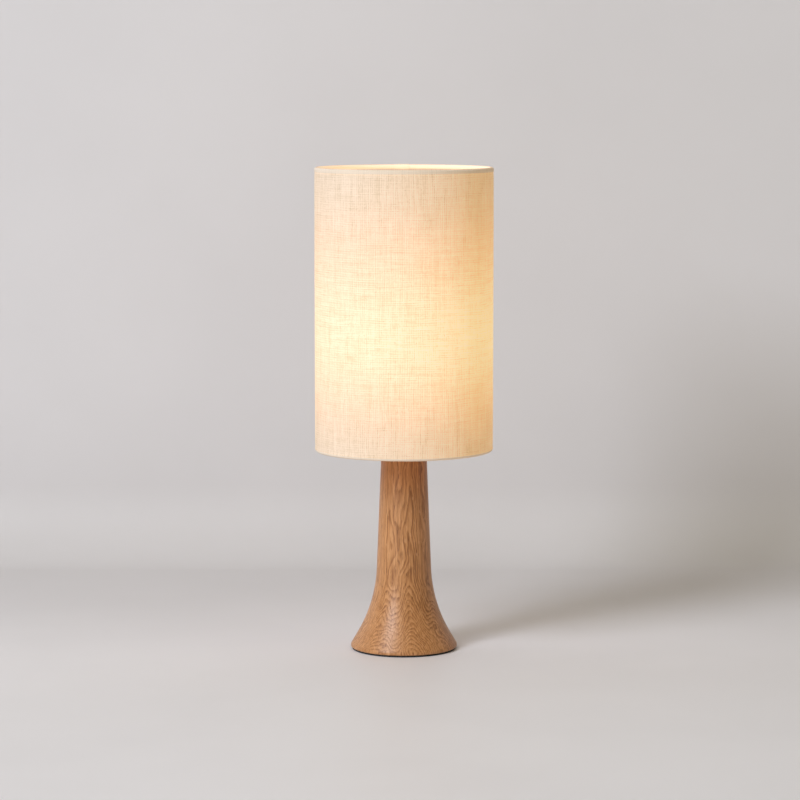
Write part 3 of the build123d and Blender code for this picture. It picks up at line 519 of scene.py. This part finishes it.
def growth_years(tree, place):
    """The year in which the tree grew a point, with the season as the fraction."""
    x, y, z = tree.split(place)
    from_x = tree.maths("SUBTRACT", tree.maths("MULTIPLY_ADD", z, LEAN, x), PITH_X)
    from_y = tree.maths("SUBTRACT", y, PITH_Y)
    square = tree.maths("MULTIPLY_ADD", from_x, from_x, tree.maths("MULTIPLY", from_y, from_y))
    depth = tree.total(
        tree.maths("SQRT", square),
        crowns(tree, place),
        tree.centred(marks(tree, place, "waves", 1.0), WAVE_DEPTH),
        tree.centred(marks(tree, place, "swirls", 1.0), SWIRL_DEPTH),
        tree.centred(marks(tree, place, "waver"), WAVER_DEPTH),
        tree.centred(marks(tree, place, "fringe"), FRINGE_DEPTH))
    return tree.maths("DIVIDE", depth, RING_WIDTH)


def spring_wood(tree, place):
    """How far a point is open spring wood: strong in some years, weak in others."""
    year = growth_years(tree, place)
    season = tree.maths("FRACT", year)
    strength = tree.node("ShaderNodeTexWhiteNoise", {"W": tree.maths("FLOOR", year)},
                         noise_dimensions="1D").outputs[0]
    after_winter = tree.between(season, 0.70, 0.0)
    before_winter = tree.between(season, 0.88, 1.0, 0.0, 0.8)
    early = tree.maths("ADD", after_winter, before_winter)
    return tree.maths("MULTIPLY", early, tree.maths("MULTIPLY_ADD", strength, 0.5, 0.5))


def oak():
    """Flat-sawn oak under a satin oil: growth rings, streaks, pores and rays, with painted shade on its
    right side that darkens towards the shade above, and painted warm lamplight near the shade.
    """
    material, tree, sockets = new_material(
        "oak", {"Specular IOR Level": 0.45, "Coat Weight": 0.26, "Coat Roughness": 0.33})
    place = tree.place()
    x, _, z = tree.split(place)
    spring = spring_wood(tree, place)
    fibre = marks(tree, place, "fibre", 3.0, 0.65)
    pores = tree.maths(
        "MULTIPLY", tree.between(marks(tree, place, "pores", 1.0), 0.57, 0.68),
        tree.between(spring, 0.1, 0.6, 0.35, 1.0))
    rays = tree.between(marks(tree, place, "rays", 0.0), 0.68, 0.78)
    # Painted shade: darker on the right side, away from the lamps, and more so just under the shade.
    shade_on_right = tree.between(x, -10 * MM, 20 * MM)
    upwards = tree.between(z, *PAINTED_SHADE_HEIGHTS, *PAINTED_SHADE_TONES)
    tone = tree.total(
        tree.maths("MULTIPLY", shade_on_right, upwards),
        tree.maths("MULTIPLY", spring, SPRING_TONE),
        tree.centred(marks(tree, place, "streaks", 3.0, 0.6), STREAK_TONE),
        tree.centred(fibre, FIBRE_TONE),
        tree.centred(marks(tree, place, "cloud"), CLOUD_TONE),
        PLAIN_TONE)
    wood = tree.ramp(tone, OAK_TONES)
    wood = tree.mix(tree.maths("MULTIPLY", pores, 0.55), wood, PORE_COLOUR)
    wood = tree.mix(tree.maths("MULTIPLY", rays, 0.40), wood, RAY_COLOUR)
    # Painted warm lamplight and shade on the wood just under the shade.
    near_shade = tree.between(z, *PAINTED_LAMPLIGHT_HEIGHTS)
    tree.feed(sockets["Base Color"], tree.mix(near_shade, wood, PAINTED_LAMPLIGHT_TINT, "MULTIPLY"))
    dull = tree.total(tree.centred(fibre, 0.12), tree.maths("MULTIPLY", pores, 0.12), 0.44)
    tree.feed(sockets["Roughness"], dull)
    relief = tree.maths("SUBTRACT", tree.centred(fibre, 0.5), tree.maths("MULTIPLY", pores, 0.8))
    tree.feed(sockets["Normal"], tree.bump(relief, 0.09 * MM, 0.6))
    return material


def metal(name, colour, smear_colour, roughness, smears, turned):
    """Bare or plated metal with handling marks; `turned` is how clear its turning rings are."""
    material, tree, sockets = new_material(name, {"Metallic": 1.0})
    place = tree.place()
    handled = tree.use(HANDLING, Place=place, Roughness=roughness, Smears=smears,
                       Grain_Size=0.25 * MM)
    rings = tree.use(TURNING, Place=place, Ring_Width=0.22 * MM)["Height"]
    smeared = tree.between(handled["Smear"], 0.35, 0.7)
    tree.feed(sockets["Base Color"], tree.mix(smeared, colour, smear_colour))
    tree.feed(sockets["Roughness"], handled["Roughness"])
    height = tree.maths("MULTIPLY_ADD", rings, turned, tree.maths("MULTIPLY", handled["Height"], 0.35))
    tree.feed(sockets["Normal"], tree.bump(height, 0.02 * MM, 0.5))
    return material


def moulded(name, colour, dusty, roughness, grain, depth):
    """Moulded, cast or coated parts in one body colour, with fine grain and a little dust."""
    material, tree, sockets = new_material(name, {"Specular IOR Level": 0.5})
    handled = tree.use(HANDLING, Place=tree.place(), Roughness=roughness, Smears=0.12, Grain_Size=grain)
    dusted = tree.between(handled["Smear"], 0.4, 0.8)
    tree.feed(sockets["Base Color"], tree.mix(dusted, colour, dusty))
    tree.feed(sockets["Roughness"], handled["Roughness"])
    tree.feed(sockets["Normal"], tree.bump(handled["Height"], depth, 0.5))
    return material


GLOBE_GLOW = [
    (0.0, (0.80, 0.58, 0.32)),
    (0.35, (1.0, 0.86, 0.60)),
    (1.0, (1.0, 0.90, 0.68)),
]
OPAL_LIGHT = (0.84, 0.82, 0.78)
OPAL_DARK = (0.80, 0.78, 0.74)


def opal():
    """The lit globe: opal plastic, warmer near its neck and brightest at its top."""
    material, tree, sockets = new_material("opal", {"Roughness": 0.35, "Emission Strength": 1.0})
    z = tree.split(tree.world_place())[2]
    low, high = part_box("bulb_diffuser")
    up_globe = tree.maths("DIVIDE", tree.maths("SUBTRACT", z, low.z), high.z - low.z)
    tree.feed(sockets["Emission Color"], tree.ramp(up_globe, GLOBE_GLOW))
    handled = tree.use(HANDLING, Place=tree.place(), Roughness=0.35, Smears=0.08, Grain_Size=0.6 * MM)
    tree.feed(sockets["Base Color"], tree.mix(handled["Smear"], OPAL_DARK, OPAL_LIGHT))
    tree.feed(sockets["Roughness"], handled["Roughness"])
    return material


METALS = {
    # colour, colour where it is smeared, roughness, smears, clearness of its turning rings
    "zinc": ((0.56, 0.57, 0.58), (0.42, 0.43, 0.44), 0.38, 0.15, 0.2),
    "brass": ((0.80, 0.58, 0.26), (0.62, 0.42, 0.17), 0.28, 0.10, 0.5),
    "bulb_metal": ((0.70, 0.70, 0.69), (0.55, 0.55, 0.54), 0.24, 0.10, 0.5),
}
BODY_COLOURS = {
    # colour, colour under dust, roughness, size of the grain and its depth
    "pad": ((0.018, 0.018, 0.019), (0.035, 0.034, 0.033), 0.9, 0.5 * MM, 0.2 * MM),
    "ballast": ((0.055, 0.056, 0.06), (0.09, 0.085, 0.08), 0.7, 0.8 * MM, 0.15 * MM),
    "black_plastic": ((0.02, 0.02, 0.02), (0.045, 0.043, 0.04), 0.45, 0.3 * MM, 0.02 * MM),
    "phenolic": ((0.016, 0.012, 0.010), (0.04, 0.034, 0.03), 0.28, 0.3 * MM, 0.02 * MM),
    "liner_board": ((0.36, 0.27, 0.17), (0.28, 0.20, 0.12), 0.75, 0.5 * MM, 0.08 * MM),
    "shade_wire": ((0.74, 0.73, 0.70), (0.66, 0.64, 0.60), 0.35, 0.5 * MM, 0.03 * MM),
    "white_plastic": ((0.78, 0.77, 0.74), (0.70, 0.68, 0.64), 0.42, 0.3 * MM, 0.02 * MM),
    "board": ((0.80, 0.80, 0.79), (0.70, 0.69, 0.67), 0.4, 0.3 * MM, 0.02 * MM),
}
MATERIALS = {"oak": oak(), "linen": linen(), "shade_backing": lining(), "opal": opal()}
for name, finish in METALS.items():
    MATERIALS[name] = metal(name, *finish)
for name, finish in BODY_COLOURS.items():
    MATERIALS[name] = moulded(name, *finish)

for subpart in frame["record"]["subparts"]:
    mesh = frame["nodes"][subpart["node"]].data
    mesh.materials.clear()
    mesh.materials.append(MATERIALS[subpart["material_slot"]])


# ---- Turned and threaded pieces ----

def lathe(name, section, segments):
    """A closed mesh: section(turn) is the closed line of (radius, height) at each angle."""
    points, faces = [], []
    for index in range(segments):
        turn = tau * index / segments
        points += [(r * cos(turn), r * sin(turn), z) for r, z in section(turn)]
    count = len(points) // segments
    for index in range(segments):
        here, there = index * count, (index + 1) % segments * count
        for step in range(count):
            after = (step + 1) % count
            faces.append((here + step, there + step, there + after, here + after))
    mesh = bpy.data.meshes.new(name)
    mesh.from_pydata(points, [], faces)
    return smooth_piece(name, mesh)


def smooth_piece(name, mesh, sharp_from=40):
    """An object of the mesh, its faces turned outwards and smooth up to an angle in degrees."""
    work = bmesh.new()
    work.from_mesh(mesh)
    bmesh.ops.recalc_face_normals(work, faces=work.faces)
    work.to_mesh(mesh)
    work.free()
    mesh.shade_smooth()
    mesh.set_sharp_from_angle(angle=radians(sharp_from))
    piece = bpy.data.objects.new(name, mesh)
    bpy.context.scene.collection.objects.link(piece)
    return piece


def fit_on(piece, body, slot, *replaced):
    """Gives a piece its material, its body and the nodes that it stands for."""
    piece.data.materials.append(MATERIALS[slot])
    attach(piece, body)
    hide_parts(*replaced)


def soft_step(value, low, high):
    """0 below low and 1 above high, eased between them."""
    share = min(max((value - low) / (high - low), 0.0), 1.0)
    return share * share * (3 - 2 * share)


def evenly(low, high, steps):
    """The values from low to high, both included, in even steps."""
    return [low + (high - low) * step / steps for step in range(steps + 1)]


SCREW_PITCH = tau * frame["record"]["behaviour"]["couplings"][0]["ratio"]
SCREW_DEPTH = 0.85 * MM
THREAD_ROW = 0.36 * MM            # between rows of a thread's mesh
THREAD_SEGMENTS = 96              # round a threaded piece
TIN = 0.4 * MM                    # wall of the bulb's cap and of the screw shell


def crest(turn, height, pitch):
    """1 on the crest of a right-handed thread, 0 in its groove."""
    return 0.5 + 0.5 * cos(tau * height / pitch - turn)


def sleeve(outer, wall):
    """The closed section of a thin wall that follows its outer line."""
    return outer + [(radius - wall, height) for radius, height in reversed(outer)]


def bulb_cap():
    """The bulb's screw cap: rolled thread, with a plain rim crimped on the neck."""
    radius = outer_radius("bulb_screw_cap")
    low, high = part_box("bulb_screw_cap")
    foot = outer_radius("bulb_insulator")
    rim_low, rim_high = high.z - 4.0 * MM, high.z - 2.8 * MM
    rolled_low = low.z + 0.9 * MM
    steps = round((high.z - rolled_low) / THREAD_ROW)

    def section(turn):
        line = [(foot, low.z)]
        for height in evenly(rolled_low, high.z, steps):
            wave = crest(turn, height, SCREW_PITCH) * soft_step(height, low.z, low.z + 3 * MM)
            wave += (1 - wave) * soft_step(height, rim_low, rim_high)
            line.append((radius - SCREW_DEPTH * (1 - wave), height))
        return sleeve(line, TIN)

    cap = lathe("bulb_cap_thread", section, THREAD_SEGMENTS)
    fit_on(cap, "bulb", "bulb_metal", "bulb_screw_cap")


def screw_shell():
    """The holder's threaded cup, its grooves round the bulb's crests."""
    radius = outer_radius("screw_shell")
    low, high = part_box("screw_shell")
    hole = 6.2 * MM                   # half its width, round the centre contact
    depth = SCREW_DEPTH - 0.05 * MM   # the rest is play
    steps = round((high.z - low.z - TIN) / THREAD_ROW)

    def section(turn):
        line = [(hole, low.z), (radius - 0.3 * MM, low.z)]
        for height in evenly(low.z + TIN, high.z, steps):
            ridge = 1 - crest(turn, height, SCREW_PITCH)
            ridge *= soft_step(height, low.z, low.z + 3 * MM)
            ridge *= 1 - soft_step(height, high.z - 3.5 * MM, high.z - 2 * MM)
            line.append((radius - depth * ridge, height))
        inside = [(reach - TIN, height) for reach, height in reversed(line[2:])]
        return line + inside + [(hole, low.z + TIN)]

    shell = lathe("holder_screw_shell", section, THREAD_SEGMENTS)
    fit_on(shell, "lamp", "brass", "screw_shell")


def collar_shell():
    """The holder's outer shell: plain skirt, rolled thread for the shade's rings, turned-in lip."""
    low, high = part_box("socket_shell")
    thread = outer_radius("socket_shell")
    wall, step, lip = 0.7 * MM, 1.2 * MM, 0.8 * MM
    skirt = thread - step
    thread_high = high.z - 2 * lip
    thread_low = thread_high - 20 * MM
    pitch, depth = 2.5 * MM, 0.5 * MM
    lip_radius = 14.5 * MM
    steps = round((thread_high - thread_low) / THREAD_ROW)

    def section(turn):
        line = [(skirt, low.z), (skirt, thread_low - wall)]
        for height in evenly(thread_low, thread_high, steps):
            run = soft_step(height, thread_low, thread_low + 1.5 * MM)
            run *= 1 - soft_step(height, thread_high - 1.5 * MM, thread_high)
            line.append((thread - depth * (1 - crest(turn, height, pitch) * run), height))
        line += [(lip_radius + lip, high.z), (lip_radius, high.z)]
        line += [(lip_radius, high.z - lip), (skirt, thread_high - lip / 2)]
        line += [(skirt, thread_low + wall), (skirt - wall, thread_low), (skirt - wall, low.z)]
        return line

    shell = lathe("holder_collar_shell", section, THREAD_SEGMENTS)
    cut_shaft_hole(shell, skirt)
    fit_on(shell, "lamp", "brass", "socket_shell")


def cut_shaft_hole(shell, reach):
    """The switch shaft's way through the shell, on the +X side."""
    low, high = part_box("switch_shaft")
    shaft_radius = (high.z - low.z) / 2
    bpy.ops.mesh.primitive_cylinder_add(
        vertices=32, radius=shaft_radius + 0.5 * MM, depth=reach,
        location=(reach, 0, (low.z + high.z) / 2), rotation=(0, pi / 2, 0))
    drill = bpy.context.object
    cut = shell.modifiers.new("shaft hole", "BOOLEAN")
    cut.object = drill
    cut.operation = "DIFFERENCE"
    cut.solver = "EXACT"
    bpy.context.view_layer.update()
    evaluated = shell.evaluated_get(bpy.context.evaluated_depsgraph_get())
    drilled = bpy.data.meshes.new_from_object(evaluated)
    shell.modifiers.clear()
    shell.data = drilled
    bpy.data.objects.remove(drill)


# ---- The shade's linen skin ----

WRAP = 260.0                      # degrees that the cloth goes round each wire
SKIN_SEGMENTS = 480               # round the shade
ROLL_STEPS = 20
WALL_STEPS = 150
BACK_STEPS = 8                    # up the wall's hidden side
ARM_ANGLES = (90.0, 210.0, 330.0)
ARM_NOTCH = 75.0                  # degrees of the roll that are snipped away at an arm
ARM_ROOM = 4.2 * MM               # half the width of that snip
LAP_ANGLE = 90.0                  # at the back
LAP_WIDTH = 12 * MM
LAP_STEP = 0.45 * MM
RIDGE, RIDGE_WIDTH = 0.12 * MM, 1.6 * MM      # of the cloth over a wire
DIP, DIP_WIDTH = 0.28 * MM, 1.1 * MM          # beside it
DIP_AWAY = 4.4 * MM               # from the wire


def round_way(turn, degrees):
    """Distance round the shade from an angle in degrees to `turn`, in metres."""
    apart = (turn - radians(degrees) + pi) % tau - pi
    return apart * SHADE_RADIUS


def lower_wrap(turn):
    """How far the lower roll goes round its wire: less where an arm comes through."""
    nearest = min(abs(round_way(turn, angle)) for angle in ARM_ANGLES)
    return WRAP - ARM_NOTCH * (1 - soft_step(nearest, ARM_ROOM * 0.6, ARM_ROOM))


def lap(turn):
    """The cloth's doubled band at the back: one folded edge, and one hidden underneath."""
    way = round_way(turn, LAP_ANGLE)
    edge = soft_step(way, -LAP_WIDTH / 2 - 0.4 * MM, -LAP_WIDTH / 2 + 0.6 * MM)
    return LAP_STEP * edge * (1 - soft_step(way, LAP_WIDTH / 4, LAP_WIDTH))


def waviness(turn, height, around, upwards):
    """Smooth noise on the wall, with a scale round the shade and one up it."""
    outwards = Vector((cos(turn), sin(turn), 0))
    return noise.noise(outwards * around + Vector((0, 0, height * upwards)))


def slack(turn, height):
    """Gentle unevenness of the cloth over its backing: broad, and along both sets of yarns."""
    broad = waviness(turn, height, 9, 30)
    upright = waviness(turn, height, 55, 12)
    level = waviness(turn, height, 4, 260)
    return 0.10 * MM * (0.5 + broad) + 0.05 * MM * upright + 0.03 * MM * level


def pinch(height):
    """The cloth stands over each wire and dips beside it."""
    gap = min(abs(height - LOW_WIRE_Z), abs(height - HIGH_WIRE_Z))
    ridge = RIDGE * exp(-(gap / RIDGE_WIDTH) ** 2)
    dip = DIP * exp(-((gap - DIP_AWAY) / DIP_WIDTH) ** 2)
    return ridge - dip


def linen_skin():
    """One cloth: tucked end, round the top wire, down the outside, round the lower wire."""
    inner_roll = ROLL_RADIUS - CLOTH

    def on_roll(radius, degrees, wire_z, up):
        turn = radians(degrees)
        return (WIRE_CIRCLE + radius * cos(turn), wire_z + up * radius * sin(turn))

    def section(turn):
        shares = [step / ROLL_STEPS for step in range(ROLL_STEPS + 1)]
        doubled = lap(turn)
        wrap = lower_wrap(turn)

        def stand(height):
            return doubled + max(slack(turn, height), 0.0) + pinch(height)

        top_roll = ROLL_RADIUS + stand(HIGH_WIRE_Z)
        low_roll = ROLL_RADIUS + stand(LOW_WIRE_Z)
        outside = [on_roll(top_roll, WRAP * (1 - share), HIGH_WIRE_Z, 1) for share in shares]
        for height in evenly(HIGH_WIRE_Z, LOW_WIRE_Z, WALL_STEPS)[1:-1]:
            outside.append((SHADE_RADIUS + stand(height), height))
        outside += [on_roll(low_roll, wrap * share, LOW_WIRE_Z, -1) for share in shares]
        inside = [on_roll(inner_roll, wrap * (1 - share), LOW_WIRE_Z, -1) for share in shares]
        for height in evenly(LOW_WIRE_Z, HIGH_WIRE_Z, BACK_STEPS)[1:-1]:
            inside.append((SHADE_RADIUS - CLOTH, height))
        inside += [on_roll(inner_roll, WRAP * share, HIGH_WIRE_Z, 1) for share in shares]
        return outside + inside

    skin = lathe("linen_skin", section, SKIN_SEGMENTS)
    fit_on(skin, "shade", "linen", "shade_fabric", "top_hem", "bottom_hem")


bulb_cap()
screw_shell()
collar_shell()
linen_skin()


# ---- Floor, light and camera ----

WALL_Y = 0.62                     # the backdrop's face behind the lamp
COVE = 0.10                       # radius of its foot
COVE_STEPS = 12
STAGE_WIDTH = 8.0
STAGE_FRONT = -7.0
WALL_TOP = 4.0
FLOOR_TONE = (0.835, 0.812, 0.827)
# The cove's tone is darker: painted shade where the floor meets the wall.
COVE_SHADE_TONE = (0.70, 0.677, 0.685)
WALL_TONE = (0.76, 0.739, 0.753)
TO_COVE = (-0.1, 0.45)            # where one tone turns into the next, as y + z
TO_WALL = (0.55, 0.9)
MOTTLE_TONE = (0.965, 0.965, 0.965)
SKY_LIGHT = (0.325, 0.290, 0.195)
SKY_SEEN = (0.60, 0.58, 0.56)
LAMP_COLOUR = (0.852, 0.903, 1.0)
LIT_POINT = Vector((0, 0, 0.28))  # about half way up the lamp
SOFT_LAMPS = {
    # place, width, power
    "high_key": ((-4.0, -4.5, 5.3), 3.0, 244),
    "low_key": ((-4.3, -5.1, 3.0), 2.0, 158),
}
SENSOR_WIDTH = 36                 # millimetres, as the lens is
LENS = 132.8
EYE = (-0.00445, -3.3, 0.647)     # a little to the left, as the lamp is right of the middle
LOOKS_DOWN = 6.30                 # degrees


def backdrop_material():
    """Plain light grey paint with painted shade that makes it a little darker towards the cove, seen
    only from its front.
    """
    material, tree, sockets = new_material("backdrop", {"Roughness": 0.5, "Specular IOR Level": 0.3})
    _, y, z = tree.split(tree.place())
    along = tree.maths("ADD", y, z)
    # Painted shade: the paint is darker round the cove, where floor and wall meet.
    with_cove_shade = tree.mix(tree.between(along, *TO_COVE), FLOOR_TONE, COVE_SHADE_TONE)
    tone = tree.mix(tree.between(along, *TO_WALL), with_cove_shade, WALL_TONE)
    mottle = tree.between(tree.noise(tree.place(), 3.0, 3.0), 0.3, 0.7)
    tree.feed(sockets["Base Color"], tree.mix(mottle, tone, MOTTLE_TONE, "MULTIPLY"))
    grain = tree.noise(tree.place(), 900.0, 2.0)
    tree.feed(sockets["Normal"], tree.bump(grain, 0.05 * MM, 0.3))
    from_behind = tree.maths(
        "MULTIPLY", tree.node("ShaderNodeNewGeometry").outputs["Backfacing"],
        tree.node("ShaderNodeLightPath").outputs["Is Camera Ray"])
    nodes = material.node_tree.nodes
    hidden = tree.node("ShaderNodeMixShader", {
        0: from_behind, 1: nodes["Principled BSDF"].outputs[0],
        2: tree.node("ShaderNodeBsdfTransparent").outputs[0]})
    tree.feed(nodes["Material Output"].inputs["Surface"], hidden.outputs[0])
    return material


def backdrop():
    """Floor that turns up into a wall behind the lamp, with a small cove between them."""
    line = [(STAGE_FRONT, 0.0)]
    for turn in evenly(0.0, pi / 2, COVE_STEPS):
        line.append((WALL_Y - COVE + COVE * sin(turn), COVE - COVE * cos(turn)))
    line.append((WALL_Y, WALL_TOP))
    mesh = bpy.data.meshes.new("studio_backdrop")
    points = [(side * STAGE_WIDTH / 2, y, z) for y, z in line for side in (-1, 1)]
    faces = [(2 * i, 2 * i + 1, 2 * i + 3, 2 * i + 2) for i in range(len(line) - 1)]
    mesh.from_pydata(points, [], faces)
    mesh.shade_smooth()
    mesh.materials.append(backdrop_material())
    piece = bpy.data.objects.new("studio_backdrop", mesh)
    bpy.context.scene.collection.objects.link(piece)


def sky():
    """Even light from all round; what the camera sees beyond the stage is the backdrop's grey."""
    world = bpy.data.worlds.new("studio light")
    bpy.context.scene.world = world
    world.use_nodes = True
    tree = Tree(world.node_tree)
    background = world.node_tree.nodes["Background"]
    seen = tree.node("ShaderNodeLightPath").outputs["Is Camera Ray"]
    tree.feed(background.inputs["Color"], tree.mix(seen, SKY_LIGHT, SKY_SEEN))


def soft_lamp(name, place, width, power):
    """A round soft lamp that points at the middle of the table lamp."""
    light = bpy.data.lights.new(name, "AREA")
    light.shape = "DISK"
    light.size = width
    light.energy = power
    light.color = LAMP_COLOUR
    lamp = bpy.data.objects.new(name, light)
    lamp.location = place
    aim = LIT_POINT - lamp.location
    lamp.rotation_euler = aim.to_track_quat("-Z", "Y").to_euler()
    bpy.context.scene.collection.objects.link(lamp)


def camera():
    """The photograph's view: a long lens a little above the shade's rim, looking slightly down."""
    data = bpy.data.cameras.new("camera")
    data.lens = LENS
    data.sensor_width = SENSOR_WIDTH
    eye = bpy.data.objects.new("camera", data)
    eye.location = EYE
    eye.rotation_euler = (radians(90 - LOOKS_DOWN), 0, 0)
    bpy.context.scene.collection.objects.link(eye)
    bpy.context.scene.camera = eye


backdrop()
sky()
for name, (place, width, power) in SOFT_LAMPS.items():
    soft_lamp(name, place, width, power)
camera()
bpy.context.scene.view_settings.view_transform = "Standard"
